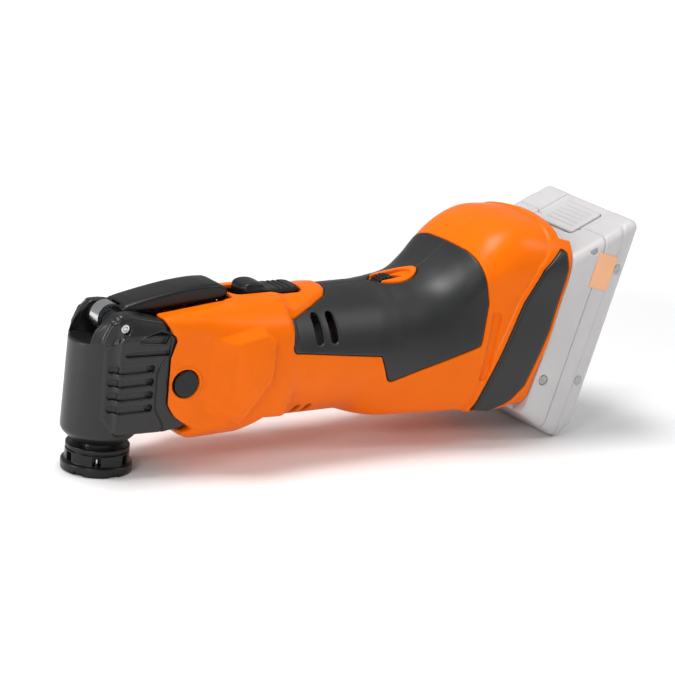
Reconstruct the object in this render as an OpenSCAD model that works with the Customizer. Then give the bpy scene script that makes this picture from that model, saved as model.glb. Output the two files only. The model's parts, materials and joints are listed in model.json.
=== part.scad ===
// Cordless oscillating multi tool: gear head, oscillating spindle with a quick-release blade clamp,
// lengthwise motor, rubber-covered grip and an 18 V slide battery pack.
// X runs from the spindle axis back to the pack, Z is up along the spindle axis, and Y = 0 is the
// parting plane. The origin is the mouth of the blade cup, on the surface that the tool stands on.

/* [Grip] */
// Outside radius of the grip barrel
grip_r = 31; // [30:0.5:33]
// Height of the grip's axis above the floor
axis_z = 49; // [48.5:0.5:50]
// Wall thickness of the moulded housing
wall = 2.5; // [2:0.1:3]
// Thickness of the rubber overmould
rubber = 2; // [1:0.25:2.5]

/* [Gear head] */
// Largest radius of the head cover
head_r = 18.4; // [18.2:0.1:19.5]
// Gap between the two arms that hold the lever
slot_w = 20; // [19:0.5:21]
// Radius of the blade holder's lower flange
flange_r = 17.1; // [16.5:0.1:18]
// Radius of the cup that the blade seats in
cup_r = 13.4; // [12:0.1:14]
// Depth of that cup
cup_depth = 5; // [4:0.5:5.5]

/* [Motor] */
// Outside radius of the motor
motor_r = 20; // [18:0.5:21]
// Length of the stator
motor_len = 50; // [40:1:52]
// How far the eccentric's axis is off the rotor's axis
eccentric_offset = 1.5; // [1:0.1:1.5]
// Radius of the rotor's shaft
rotor_r = 4; // [3:0.5:4]

/* [Controls] */
// Travel of the slide switch
switch_travel = 6; // [3:0.5:6]
// Radius of the speed wheel
dial_r = 9; // [8:0.5:9.5]

/* [Battery pack] */
// Width of the pack
pack_w = 78; // [76:0.5:79]
// Lean of the pack from upright, in degrees
pack_lean = 16.5; // [15:0.5:18]
// Diameter of one cell
cell_d = 18.4; // [18:0.1:18.6]

/* [Hidden] */
$fn = 64;
eps = 0.01;
big = 400;
gap = 0.3;          // between pieces that only lie side by side
run = 0.05;         // radial running clearance of a shaft

orange = [0.96, 0.46, 0.08];
black = [0.13, 0.13, 0.14];
rubber_black = [0.09, 0.09, 0.10];
steel = [0.72, 0.73, 0.75];
alloy = [0.60, 0.61, 0.63];
pack_grey = [0.80, 0.80, 0.80];

// Head and spindle levels
head_z0 = 14.5;
head_z1 = 66;
gear_hw = 18.8;
gear_wall = 1.9;
cover_hw = 20.9;
head_top = 80;
groove_z = 34.9;
groove_pitch = 6.4;
gear_z0 = 17;
gear_r = 15.6;
gear_in_r = 13.4;
bearing_or = 12;
bearing_h = 6;
spindle_r = 6;
spindle_bore = 3.6;
spindle_top = 60;
lower_bearing_z = 19;
upper_bearing_z = 52;
holder_z1 = 13;
flange_h = 4.8;
collar_r = 15.3;
neck_r = 8;
pivot_z = 73.4;
pivot_r = 2.5;
cam_r = 7;
cam_offset = 1.5;
rod_r = 2.8;
rod_head_r = 5.2;
rod_head_top = pivot_z - (cam_r - cam_offset) - 0.1;
rod_head_h = 3;
jaw_pivot_x = 5.4;
jaw_pivot_z = 10.6;

HEAD_SCREWS = [[22, -15], [22, 15], [36, -15], [36, 15]];

// Motor line
motor_x0 = 88;
motor_x1 = motor_x0 + motor_len;
shield_t = 5;
front_bearing_x = 61;
rear_bearing_x = motor_x1 + 1;
motor_bearing_or = 11;
motor_bearing_w = 7;
ecc_x = 51;                       // middle of the eccentric bearing
ecc_bearing_or = 9.5;
ecc_bearing_w = 6;
fork_gap = ecc_bearing_or + 2 * eccentric_offset + 0.3;

// Damper, dial and switch places
damper_x = 31.3;
damper_z = 45.7;
damper_r = 6.6;
cheek_y = 24.5;
dial_x = 156.5;
dial_z = 73.3;
island_x = 161;
island_a = 14.5;
island_b = 9;
switch_x0 = 71;
switch_x1 = 103;
switch_w = 15;
tongue_tip = 118;

// Battery frame: local X goes back through the pack, local Z goes up along it
pack_x = 245;
rim_w = -28;
arch_w = -35.5;
pack_front = arch_w + gap;
pack_back = 6.7;
pack_top = 117.6;
pack_low_top = 84.5;
block_hw = 30;                     // half width of the pack's central block
channel_top = 75;
CONTACT_Y = [-9, 0, 9];
tongue_u0 = 14;
tongue_u1 = 72;
cell_len = 65;
cell_pitch = 18.5;
cell_first = 14.6;
cell_w = -8.4;

// ---- small helpers ----
module in_pack() { translate([pack_x, 0, 0]) rotate([0, pack_lean, 0]) children(); }
module along_x(x0, x1, r, y = 0, z = 0) {
    translate([x0, y, z]) rotate([0, 90, 0]) cylinder(r = r, h = x1 - x0);
}
module along_y(y0, y1, r, x = 0, z = 0) {
    translate([x, y0, z]) rotate([-90, 0, 0]) cylinder(r = r, h = y1 - y0);
}
module box(lo, hi) { translate(lo) cube(hi - lo); }
// Side outline, given as [x, z] points, made into a slab from y0 to y1
module side_slab(pts, y0, y1) {
    translate([0, y1, 0]) rotate([90, 0, 0]) linear_extrude(y1 - y0) polygon(pts);
}
// Plan outline, given as half widths [x, y], mirrored about Y = 0 and made into a tall slab
module plan_slab(pts, z0, z1) {
    n = len(pts);
    translate([0, 0, z0]) linear_extrude(z1 - z0)
        polygon(concat(pts, [for (i = [n - 1:-1:0]) [pts[i][0], -pts[i][1]]]));
}
module half(side) {
    intersection() {
        children();
        if (side < 0) box([-60, -big, -60], [big, 0, big]);
        else box([-60, 0, -60], [big, big, big]);
    }
}
module tube(r1, r0, z0, z1) {
    difference() {
        translate([0, 0, z0]) cylinder(r = r1, h = z1 - z0);
        translate([0, 0, z0 - 1]) cylinder(r = r0, h = z1 - z0 + 2);
    }
}
module tube_x(x0, x1, r1, r0, z = axis_z) {
    difference() {
        along_x(x0, x1, r1, 0, z);
        along_x(x0 - 1, x1 + 1, r0, 0, z);
    }
}
// Moves each edge of a counter-clockwise outline inwards by d
function edge_normal(a, b) = let (v = b - a) [-v[1], v[0]] / norm(v);
function line_meet(p, d, q, e) = p + d * (((q - p)[0] * e[1] - (q - p)[1] * e[0]) /
    (d[0] * e[1] - d[1] * e[0]));
function inset(pts, d) = [for (i = [0:len(pts) - 1]) let (
    a = pts[(i + len(pts) - 1) % len(pts)], b = pts[i], c = pts[(i + 1) % len(pts)])
    line_meet(a + d * edge_normal(a, b), b - a, b + d * edge_normal(b, c), c - b)];

// ---- outlines of the housing ----
// Front block that holds the gear head, with its concave front edge, seen from the side
block_side = [[31, 20], [41, 13.5], [64, 16.5], [76, 24], [86, 27], [86, 79.5], [64, 80.5], [19, 77],
    [22.5, 72], [24.5, 66.5], [22, 61], [18, 57], [16.7, 52], [16.5, 44], [19, 37.5], [27, 29], [36.5, 22.5]];
block_room = [[0, 22.5], [38, 19], [63, 19], [74, 27], [82, 30], [83.5, 76], [62, 76], [0, 74]];
block_plan = [[10, 20.6], [24, 23.4], [damper_x + 9, cheek_y + 0.8], [50, 28], [60, 30.2],
    [72, grip_r], [90, grip_r]];
room_plan = [[0, 21.2], [24, 21.2], [damper_x + 9, 22.6], [60, 27.2], [72, grip_r - wall],
    [100, grip_r - wall]];
// Rear flare that carries the pack
flare_side = [[170, 18], [197, 20], [208, 12], [262, 12], [262, 108], [238, 108.5], [225, 110.5],
    [212, 109], [199, 103], [187, 92.5], [178, 85], [168, 79.5]];
flare_plan = [[160, 8], [172, 16], [186, 30.5], [205, 36], [225, 39.5], [262, 40]];
// Rubber grip on the barrel
grip_side = [[86, 56.8], [136.5, 50.7], [143, 36.4], [184, 50], [184, 90], [92, 90]];
block_round = 37;
flare_round = 26;
tongue_plan = [[80, 22], [98, 18], [110, 12], [tongue_tip - 2, 5], [tongue_tip, 0.5]];

module flare_cut() {
    in_pack() {
        box([rim_w, -big, -60], [big, big, big]);
        box([arch_w, -block_hw - 0.5, -60], [big, block_hw + 0.5, big]);
    }
}
module barrel(r) { along_x(70, 190, r, 0, axis_z); }
// Rounds the long corners of the block and of the flare
module round_tunnel(hw, z0, z1, r) {
    for (y = [-1, 1], z = [z0 + r, z1 - r]) along_x(-20, 300, r, y * (hw - r), z);
    box([-20, -hw, z0 + r], [300, hw, z1 - r]);
    box([-20, -hw + r, z0], [300, hw - r, z1]);
}
module housing_outer() {
    intersection() {
        side_slab(block_side, -60, 60);
        plan_slab(block_plan, 0, 120);
        along_x(-20, 200, block_round, 0, axis_z - 1);
    }
    barrel(grip_r);
    difference() {
        intersection() {
            side_slab(flare_side, -60, 60);
            plan_slab(flare_plan, 0, 140);
            round_tunnel(40, 12, 111, flare_round);
        }
        flare_cut();
    }
}
module housing_room() {
    intersection() {
        side_slab(block_room, -60, 60);
        plan_slab(room_plan, 0, 120);
        along_x(-20, 200, block_round - wall, 0, axis_z - 1);
    }
    along_x(60, 196, grip_r - rubber - wall, 0, axis_z);
    intersection() {
        side_slab(inset(flare_side, wall), -60, 60);
        round_tunnel(40 - wall, 12 + wall, 111 - wall, flare_round - wall);
        plan_slab([for (p = flare_plan) [p[0], p[1] - wall - 0.1]], 0, 140);
        in_pack() union() {
            box([-120, -60, -60], [rim_w - wall, 60, 160]);
            box([-120, -block_hw - 0.5, -60], [0, block_hw + 0.5, 160]);
        }
    }
}
module tongue_zone() { plan_slab(tongue_plan, 68, 120); }
module island_zone(grow = 0) {
    // two arcs through both tips of the oval
    arc_r = (island_a * island_a + island_b * island_b) / (2 * island_b);
    intersection() {
        translate([island_x, island_b - arc_r, 60]) cylinder(r = arc_r + grow, h = 60);
        translate([island_x, arc_r - island_b, 60]) cylinder(r = arc_r + grow, h = 60);
    }
}
module grip_zone() {
    difference() {
        intersection() {
            barrel(grip_r + eps);
            side_slab(grip_side, -60, 60);
        }
        barrel(grip_r - rubber);
        tongue_zone();
        island_zone();
    }
}
module bumper_zone(side) {
    in_pack() translate([0, side * 39.2, 0]) box([-46, -2.2, 14], [rim_w - 1.5, 2.2, 90]);
}
module screw_hole(x, z) { along_y(-60, 60, 1.7, x, z); }
// each housing screw: x, z, and half its length
HOUSING_SCREWS = [[79, 29, 29.5], [79, 70, 28], [192, 32, 30.5], [206, 95, 34.5]];

module housing_shell(side) {
    color(orange) half(side) difference() {
        housing_outer();
        housing_room();
        grip_zone();
        island_zone(0.1);
        // openings for the damper caps, the vents and the slide switch
        along_y(-60, 60, damper_r + 0.3, damper_x, damper_z);
        for (x = [102.5, 111]) box([x - 2, -60, 58], [x + 2, 60, 73]);
        for (x = [97, 103.5], s = [-1, 1]) translate([x, s * 18, 0]) box([-2, -9, 10], [2, 9, 27]);
        box([dial_x - dial_r - 0.6, -4, 60], [dial_x + dial_r + 0.6, 4, axis_z + grip_r - rubber]);
        box([switch_x0 - switch_travel - 1, -switch_w / 2 - 0.5, 60],
            [switch_x1 + 1, switch_w / 2 + 0.5, 120]);
        // the release lever lies in the top of the fork
        box([-20, -10.6, 70], [62, 10.6, 120]);
        for (p = HOUSING_SCREWS) screw_hole(p[0], p[1]);
        for (s = [-1, 1]) bumper_zone(s);
    }
}
module housing_left() { housing_shell(-1); }
module housing_right() { housing_shell(1); }

module grip_half(side) {
    color(rubber_black) half(side) difference() {
        grip_zone();
        for (x = [102.5, 111]) box([x - 2, -60, 58], [x + 2, 60, 73]);
    }
}
module grip_left() { grip_half(-1); }
module grip_right() { grip_half(1); }

module dial_bezel() {
    color(orange) difference() {
        intersection() {
            island_zone(-0.1);
            union() {
                barrel(grip_r);
                box([140, -12, 60], [190, 12, 81.5]);
            }
        }
        barrel(grip_r - rubber - wall);
        box([dial_x - dial_r - 0.6, -4, 60], [dial_x + dial_r + 0.6, 4, 100]);
    }
}
module bumper(side) {
    color(rubber_black) intersection() {
        bumper_zone(side);
        in_pack() box([-46 + 0.1, -60, 14.1], [rim_w - 1.6, 60, 89.9]);
        plan_slab([for (p = flare_plan) [p[0], p[1] + 0.2]], 0, 140);
    }
}
module bumper_left() { bumper(-1); }
module bumper_right() { bumper(1); }

// ---- dampers between the gear housing and the outer housing ----
module damper_cap(side) {
    color(black) translate([0, side * cheek_y, 0])
        along_y(-1.3, 0.3, damper_r, damper_x, damper_z);
}
module damper_cap_left() { damper_cap(-1); }
module damper_cap_right() { damper_cap(1); }
module damper_bushes() {
    color(rubber_black) for (s = [-1, 1]) translate([0, s * 21.3, 0]) difference() {
        along_y(-1.8, 1.8, damper_r, damper_x, damper_z);
        along_y(-3, 3, 4, damper_x, damper_z);
    }
}

// ---- gear head ----
module gear_housing() {
    color(alloy) difference() {
        union() {
            translate([0, 0, gear_z0]) cylinder(r1 = gear_r - 2, r2 = gear_r, h = 3);
            translate([0, 0, gear_z0 + 3 - eps]) cylinder(r = gear_r, h = 43);
            box([0, -gear_hw, 26], [58, gear_hw, 68]);
            box([57, -20, 26], [60, 20, 72]);
            along_x(59.5, 59.5 + motor_bearing_w, motor_bearing_or + 3, 0, axis_z);
            for (s = [-1, 1]) translate([0, s * 20, 0]) along_y(-3, 3, 3.9, damper_x, damper_z);
        }
        translate([0, 0, lower_bearing_z]) cylinder(r = gear_in_r - 1.38, h = 60);
        translate([0, 0, lower_bearing_z + bearing_h]) cylinder(r = gear_in_r, h = upper_bearing_z
            - lower_bearing_z - bearing_h);
        translate([0, 0, 10]) cylinder(r = 10.5, h = 20);
        box([0, -gear_hw + gear_wall, 26 + wall], [57, gear_hw - gear_wall, upper_bearing_z - 1]);
        box([gear_r, -gear_hw + gear_wall, 40], [57, gear_hw - gear_wall, 64.5]);
        along_x(front_bearing_x - 1.5, front_bearing_x + 20, motor_bearing_or + 0.02, 0, axis_z);
        along_x(50, 90, 8, 0, axis_z);
        box([-30, -30, 63], [12, 30, 83]);
        for (p = HEAD_SCREWS) translate([p[0], p[1], 55]) cylinder(r = 1.3, h = 30);
        for (s = [-1, 1], z = [40, 58]) along_x(56, 62, 1.3, s * 17, z + 2);
    }
}
cover_side = [[0, 22], [24, 22], [40, 24.5], [42, 30], [42, 68], [22, 72], [18.5, 74], [17.5, 79], [0, 80]];
module head_cover() {
    color(black) difference() {
        union() {
            translate([0, 0, head_z0]) cylinder(r1 = 13, r2 = head_r, h = 5.5);
            translate([0, 0, head_z0 + 5.5]) cylinder(r1 = head_r, r2 = head_r - 1, h = head_z1 - head_z0 - 5.5);
            intersection() {
                translate([0, 0, head_z1]) cylinder(r1 = head_r - 1, r2 = head_r - 4, h = head_top - head_z1);
                box([-30, -40, 60], [30, 40, head_top]);
            }
            side_slab(cover_side, -cover_hw, cover_hw);
        }
        // room for the gear housing
        translate([0, 0, gear_z0 - gap]) cylinder(r1 = gear_r - 2 + gap, r2 = gear_r + gap, h = 3 + gap);
        translate([0, 0, gear_z0 + 3 - eps]) cylinder(r = gear_r + gap, h = 43.5);
        translate([0, 0, 10]) cylinder(r = neck_r + 1, h = 20);
        box([0, -gear_hw - gap, 26 - gap], [50, gear_hw + gap, 68 + gap]);
        // slot for the lever and its cam
        box([-30, -slot_w / 2, 63.3], [60, slot_w / 2, 100]);
        along_y(-30, 30, pivot_r + 0.02, 0, pivot_z);
        along_y(-30, 30, damper_r + 0.3, damper_x, damper_z);
        // cooling grooves and the two upper slots on each cheek
        for (s = [-1, 1]) translate([0, s * cover_hw, 0]) {
            for (i = [0:3]) box([-2, -1, groove_z + i * groove_pitch - 1], [13, 1, groove_z + i * groove_pitch + 1]);
            for (z = [60.9, 68]) box([4, -1, z - 1], [20, 1, z + 1]);
        }
        for (p = HEAD_SCREWS) translate([p[0], p[1], 60]) cylinder(r = 1.7, h = 30);
    }
}
module lever_pivot_pin() {
    color(steel) along_y(-17, 17, pivot_r, 0, pivot_z);
}
module bearing(z0) {
    color(steel) difference() {
        tube(bearing_or, spindle_r + run, z0, z0 + bearing_h);
        // raceway groove on each face
        for (z = [z0 - eps, z0 + bearing_h - 0.6]) difference() {
            translate([0, 0, z]) cylinder(r = 10.4, h = 0.6 + eps);
            translate([0, 0, z - 1]) cylinder(r = 7.8, h = 3);
        }
    }
}
module spindle_bearing_upper() { bearing(upper_bearing_z); }
module spindle_bearing_lower() { bearing(lower_bearing_z); }
module spindle_seal() { color(rubber_black) tube(10.4, neck_r + run, 17, lower_bearing_z - 0.1); }
module head_screws() {
    color(steel) for (p = HEAD_SCREWS) translate([p[0], p[1], 0]) {
        translate([0, 0, 58]) cylinder(r = 1.25, h = 11);
        translate([0, 0, 68.4]) cylinder(r = 1.6, h = 2.2);
    }
}

// ---- spindle, swing fork and blade holder ----
module spindle() {
    color(steel) difference() {
        union() {
            translate([0, 0, 9]) cylinder(r = spindle_r, h = spindle_top - 9);
            translate([0, 0, holder_z1]) cylinder(r = neck_r, h = lower_bearing_z - 0.1 - holder_z1);
        }
        translate([0, 0, 0]) cylinder(r = spindle_bore, h = 80);
        for (s = [-1, 1]) translate([s * 6, 0, 0]) box([-3, -1.9, 0], [3, 1.9, holder_z1]);
    }
}
module swing_fork() {
    color(alloy) difference() {
        union() {
            translate([0, 0, 41]) cylinder(r = 10.5, h = 9.8);
            box([5, -5, 44], [38, 5, 50.8]);
            box([36, -fork_gap - 2, 44], [40, fork_gap + 2, 50.8]);
            for (s = [-1, 1]) translate([0, s * (fork_gap + 1), 0])
                box([36, -1, 40], [ecc_x + 5, 1, axis_z + 9]);
        }
        cylinder(r = spindle_r, h = 100);
    }
}
module tool_holder() {
    color(black) difference() {
        union() {
            cylinder(r = flange_r, h = flange_h);
            translate([0, 0, flange_h - eps]) cylinder(r = collar_r, h = holder_z1 - flange_h);
        }
        translate([0, 0, -1]) cylinder(r = cup_r, h = cup_depth + 1);
        translate([0, 0, cup_depth - 1]) cylinder(r = 9.6, h = 5);
        cylinder(r = spindle_r, h = 40);
        for (s = [-1, 1]) box([s * 6 - 3.4, -1.9, 4], [s * 6 + 3.4, 1.9, holder_z1 - 0.6]);
        for (i = [0:5]) rotate(30 + i * 60) translate([cup_r + 2, 0, 0])
            box([-4, -1.6, flange_h + 0.4], [4, 1.6, 9.4]);
        difference() {
            translate([0, 0, 10.2]) cylinder(r = 20, h = 0.8);
            translate([0, 0, 9]) cylinder(r = collar_r - 0.9, h = 3);
        }
        for (i = [0:5]) rotate(i * 60) translate([11.4, 0, 3]) cylinder(r = 1, h = 5.2);
    }
}
module drive_pins() {
    color(steel) for (i = [0:5]) rotate(i * 60) translate([11.4, 0, cup_depth + 0.05]) cylinder(r = 1, h = 3);
}
module clamp_spring() {
    color(steel) for (i = [0:3]) tube(5.6, rod_r + 0.6, spindle_top + i * 1.05, spindle_top + i * 1.05 + 0.9);
}
module clamp_rod() {
    color(steel) {
        translate([0, 0, 14]) cylinder(r = rod_r, h = rod_head_top - rod_head_h - 14 + eps);
        translate([0, 0, rod_head_top - rod_head_h]) cylinder(r = rod_head_r, h = rod_head_h);
    }
}
module clamp_jaw(s) {
    color(steel) union() {
        translate([s * jaw_pivot_x, 0, 0]) along_y(-1.5, 1.5, 1.4, 0, jaw_pivot_z);
        translate([s * jaw_pivot_x, 0, 0]) box([-0.9, -1.5, 5.6], [0.9, 1.5, jaw_pivot_z]);
        translate([s * (jaw_pivot_x + 1), 0, 0]) box([-1.6, -1.5, 5.6], [1.6, 1.5, 7.4]);
    }
}
module clamp_jaw_front() { clamp_jaw(-1); }
module clamp_jaw_rear() { clamp_jaw(1); }

// ---- quick-release lever ----
lever_side = [[13, 77.6], [20, 78.6], [40, 80.2], [60, 81.2], [61, 82.4], [56, 87.4], [50, 88.8],
    [36, 87.6], [20, 84.8], [4.5, 81.8], [-4, 79.6], [-7, 75.5]];
module release_lever() {
    color(black) difference() {
        union() {
            side_slab(lever_side, -9.6, 9.6);
            for (s = [-1, 1]) translate([0, s * 6.8, 0]) along_y(-2.8, 2.8, 5.3, 0, pivot_z);
        }
        along_y(-3.9, 3.9, cam_r + 2.2, 0, pivot_z);
        along_y(-30, 30, pivot_r + run, 0, pivot_z);
    }
}
module lever_cam() {
    color(steel) difference() {
        along_y(-3.8, 3.8, cam_r, 0, pivot_z + cam_offset);
        along_y(-30, 30, pivot_r + run, 0, pivot_z);
    }
}

// ---- motor ----
module rotor_shaft() {
    color(steel) {
        along_x(56, rear_bearing_x + 8, rotor_r, 0, axis_z);
        along_x(44, 56 + eps, 3, 0, axis_z);
    }
}
module eccentric() {
    color(steel) difference() {
        along_x(46, 56, 5, 0, axis_z + eccentric_offset);
        along_x(40, 60, 3, 0, axis_z);
    }
}
module ring_bearing(x0, w, r1, r0, z) {
    color(steel) difference() {
        along_x(x0, x0 + w, r1, 0, z);
        along_x(x0 - 1, x0 + w + 1, r0, 0, z);
        for (x = [x0 - eps, x0 + w - 0.5]) difference() {
            along_x(x, x + 0.5 + eps, r1 - 1.8, 0, z);
            along_x(x - 1, x + 2, r0 + 1.4, 0, z);
        }
    }
}
module eccentric_bearing() {
    ring_bearing(ecc_x - ecc_bearing_w / 2, ecc_bearing_w, ecc_bearing_or, 5, axis_z + eccentric_offset);
}
module motor_bearing_front() {
    ring_bearing(front_bearing_x, motor_bearing_w - 2, motor_bearing_or, rotor_r + run, axis_z);
}
module motor_bearing_rear() {
    ring_bearing(rear_bearing_x, motor_bearing_w - 2, motor_bearing_or - 2, rotor_r + run, axis_z);
}
module cooling_fan() {
    color(black) difference() {
        union() {
            along_x(69, 77, 7, 0, axis_z);
            along_x(69, 70.5, motor_r, 0, axis_z);
            for (i = [0:10]) translate([0, 0, axis_z]) rotate([i * 360 / 11, 0, 0])
                box([70, 5, -0.8], [77, motor_r - 1, 0.8]);
        }
        along_x(60, 90, rotor_r, 0, axis_z);
    }
}
module rotor_core() {
    color([0.45, 0.32, 0.22]) difference() {
        union() {
            along_x(motor_x0 + 7, motor_x1 - 7, 12, 0, axis_z);
            along_x(motor_x0 + 1, motor_x1 - 1, 7, 0, axis_z);
        }
        along_x(60, 160, rotor_r, 0, axis_z);
        for (i = [0:4]) translate([0, 0, axis_z]) rotate([i * 72, 0, 0])
            box([motor_x0, 9.5, -1], [motor_x1, 14, 1]);
    }
}
module motor_stator() {
    color([0.35, 0.36, 0.38]) difference() {
        tube_x(motor_x0, motor_x1, motor_r, 13);
        for (i = [0:5]) translate([0, 0, axis_z]) rotate([i * 60, 0, 0])
            box([motor_x0 + 4, motor_r - 1, -3], [motor_x1 - 4, motor_r + 2, 3]);
    }
}
module motor_front_shield() {
    color(black) difference() {
        tube_x(motor_x0 - shield_t, motor_x0, motor_r + 2, 9);
        for (i = [0:5]) translate([0, 0, axis_z]) rotate([30 + i * 60, 0, 0])
            box([70, 11, -2.5], [motor_x0 + 1, 17, 2.5]);
    }
}
module motor_rear_shield() {
    color(black) difference() {
        tube_x(motor_x1, motor_x1 + motor_bearing_w, motor_r + 2, rotor_r + 1.2);
        along_x(rear_bearing_x, motor_x1 + 20, motor_bearing_or - 2 + 0.02, 0, axis_z);
        for (i = [0:5]) translate([0, 0, axis_z]) rotate([30 + i * 60, 0, 0])
            box([motor_x1 - 1, 12, -2.5], [motor_x1 + 20, 18, 2.5]);
    }
}

// ---- electronics and controls ----
module control_board() {
    color([0.10, 0.32, 0.16]) {
        box([150, -17, 34], [196, 17, 35.6]);
        for (x = [156, 168]) translate([x, -8, 35.6 - eps]) cylinder(r = 4, h = 9);
        box([160, 2, 35.6 - eps], [186, 14, 40]);
        box([176, -14, 35.6 - eps], [190, -4, 39]);
    }
}
module micro_switch() {
    color([0.22, 0.22, 0.24]) {
        box([118, -3, 69.4], [131, 3, 74.6]);
        box([114.6, -1.5, 71], [118 + eps, 1.5, 73]);
    }
}
module switch_link() {
    color(black) union() {
        box([80, -3, 72.2], [114.4 - switch_travel + 5.8, 3, 74.2]);
        box([80, -3, 74.2 - eps], [84, 3, 78.3]);
    }
}
switch_side = [[switch_x0, 80.6], [switch_x1, 80.6], [switch_x1, 81.4], [switch_x1 - 8, 83.6],
    [switch_x0 + 16, 84], [switch_x0 + 10, 83], [switch_x0 + 6, 84.6], [switch_x0 + 2, 84.2]];
module switch_slider() {
    color(black) union() {
        side_slab(switch_side, -switch_w / 2, switch_w / 2);
        box([switch_x0 + 3, -switch_w / 2, 78.3], [switch_x1 - 8, switch_w / 2, 80.6 + eps]);
    }
}
module speed_dial() {
    color(black) difference() {
        union() {
            along_y(-3.4, 3.4, dial_r - 0.5, dial_x, dial_z);
            for (i = [0:19]) translate([dial_x, 0, dial_z]) rotate([0, i * 18, 0])
                box([dial_r - 2, -3.4, -0.7], [dial_r, 3.4, 0.7]);
        }
        along_y(-10, 10, 1.5 + run, dial_x, dial_z);
    }
}
module dial_axle() { color(steel) along_y(-6, 6, 1.5, dial_x, dial_z); }
module housing_screws() {
    color(steel) for (p = HOUSING_SCREWS) along_y(-p[2], p[2], 1.6, p[0], p[1]);
}

// ---- battery receiver on the rear of the housing ----
module battery_receiver() {
    color(black) difference() {
        union() {
            // the plate fills the opening in the rear of the housing
            intersection() {
                in_pack() box([arch_w - 3.4, -block_hw, 0], [arch_w, block_hw, 120]);
                side_slab(inset(flare_side, wall + gap), -60, 60);
                round_tunnel(40 - wall - gap, 12 + wall + gap, 111 - wall - gap, flare_round - wall - gap);
            }
            in_pack() {
                box([arch_w - eps, -15, tongue_u0], [-28.6 + eps, 15, tongue_u1]);
                box([-28.6, -19, tongue_u0], [-24, 19, tongue_u1]);
            }
        }
        in_pack() for (y = CONTACT_Y) box([-40, y - 1.7, 52], [-20, y + 1.7, 80]);
    }
}
module receiver_contacts() {
    color([0.80, 0.62, 0.30]) in_pack() for (y = CONTACT_Y)
        box([arch_w - 8, y - 0.4, 53], [-25, y + 0.4, 69]);
}

// ---- battery pack ----
pack_side = [[pack_front, 10], [-3, 0], [0.5, 0], [pack_back, 8], [pack_back, 113.6],
    [4.4, pack_top], [pack_front, pack_low_top]];
slope = atan2(pack_top - pack_low_top, 4.4 - pack_front);
module pack_outer() {
    intersection() {
        side_slab(pack_side, -pack_w / 2, pack_w / 2);
        union() {
            box([-60, -block_hw, -1], [20, block_hw, 130]);
            box([rim_w + gap, -60, -1], [20, 60, 130]);
        }
        plan_slab([[-60, pack_w / 2], [3.4, pack_w / 2], [pack_back, pack_w / 2 - 3]], -5, 130);
    }
}
module pack_room() {
    side_slab([[-21, 8.4], [-3, 2.8], [2, 2.8], [4.2, 8], [4.2, 112], [-21, 112 - 25.2 * tan(slope)]],
        -pack_w / 2 + 2.5, pack_w / 2 - 2.5);
}
module pack_channel() {
    box([-60, -15.4, -5], [-20, 15.4, channel_top]);
    box([-29, -19.4, -5], [-20 - eps, 19.4, channel_top]);
}
module on_slope() {
    translate([-9, 0, pack_low_top + (-9 - pack_front) * tan(slope)]) rotate([0, -slope, 0]) children();
}
module pack_button_hole(g) { on_slope() box([-10 - g, -15 - g, -12], [10 + g, 15 + g, 12]); }
module pack_channel_floor() {
    difference() {
        pack_channel();
        box([-23.6, -60, -10], [0, 60, 130]);
    }
}
PACK_SCREWS = [[-22, 27], [-18, 98.5], [0.4, 31], [0.8, 90]];
module pack_shell() {
    difference() {
        pack_outer();
        pack_room();
        pack_channel_floor();
        pack_button_hole(0.35);
        for (p = PACK_SCREWS, s = [-1, 1]) translate([0, s * (pack_w / 2), 0])
            along_y(-1.2, 1.2, 2.4, p[0], p[1]);
    }
}
module pack_case_front() {
    color(pack_grey) in_pack() intersection() {
        pack_shell();
        box([-60, -60, -10], [-12, 60, 130]);
    }
}
module pack_case_rear() {
    color(pack_grey) in_pack() intersection() {
        pack_shell();
        box([-12, -60, -10], [20, 60, 130]);
    }
}
module pack_cells() {
    color([0.25, 0.45, 0.60]) in_pack() for (i = [0:4])
        along_y(-cell_len / 2, cell_len / 2, cell_d / 2, cell_w, cell_first + i * cell_pitch);
}
module pack_board() {
    color([0.10, 0.32, 0.16]) in_pack() box([-20.6, -28, 11], [-19, 28, 80]);
}
module pack_contacts() {
    color([0.80, 0.62, 0.30]) in_pack() for (y = CONTACT_Y, s = [-1, 1])
        translate([0, y + s * 0.8, 0]) box([-27.5, -0.3, 54], [-23.6, 0.3, 66]);
}
module pack_screws() {
    color(alloy) in_pack() for (p = PACK_SCREWS, s = [-1, 1]) translate([0, s * (pack_w / 2 - 0.7), 0])
        along_y(-0.5, 0.5, 2.3, p[0], p[1]);
}
module pack_label() {
    color([0.97, 0.80, 0.65]) in_pack() for (s = [-1, 1]) translate([0, s * (pack_w / 2 + 0.15), 0])
        box([-14.5, -0.15, 78], [-2.5, 0.15, 96]);
}
module pack_button() {
    color(pack_grey) in_pack() on_slope() difference() {
        box([-10, -15, -2.6], [10, 15, 0.6]);
        for (x = [-6, -3, 0, 3, 6]) box([x - 0.5, -11, 0], [x + 0.5, 11, 2]);
    }
}
module pack_latch() {
    color(black) in_pack() on_slope() box([-4, -5, -3.8], [2, 5, -2.6]);
}

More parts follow.
